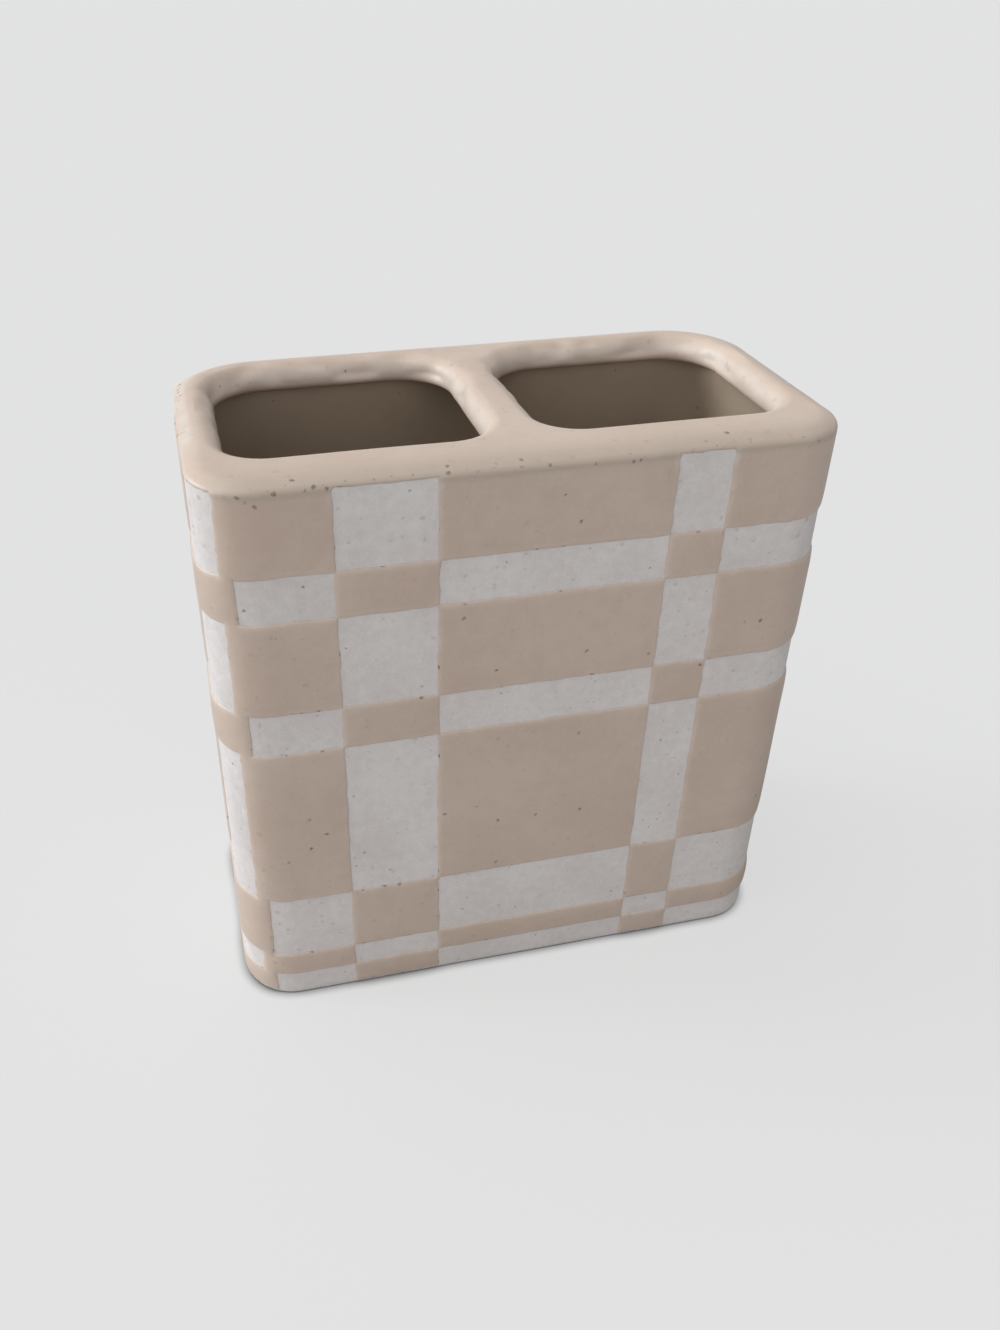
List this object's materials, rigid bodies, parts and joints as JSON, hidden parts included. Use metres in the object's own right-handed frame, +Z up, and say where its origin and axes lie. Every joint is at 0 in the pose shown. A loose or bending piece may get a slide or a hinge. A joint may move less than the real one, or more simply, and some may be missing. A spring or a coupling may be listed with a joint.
{
  "type": "toothbrush holder",
  "caption": "Tall rounded stoneware toothbrush holder whose deck has mouths for brushes and a tube, glazed beige with checks left open to the pale speckled clay.",
  "frame": {"origin": "on the ground, under the middle of the body", "axes": "+X to the right along the long face, +Y to the back through the depth, +Z up"},
  "size_m": [0.104, 0.055, 0.1055],
  "materials": {
    "clay": "matte, fine-grained, speckled",
    "glaze": "satin, sparsely speckled",
    "liner": "satin"
  },
  "bodies": {
    "root": {"base_slab": "clay", "wall_shell": "clay", "top_deck": "clay", "front_glaze": "glaze", "right_glaze": "glaze", "back_glaze": "glaze", "left_glaze": "glaze", "deck_glaze": "glaze", "liner_glaze": "liner"}
  },
  "joints": []
}
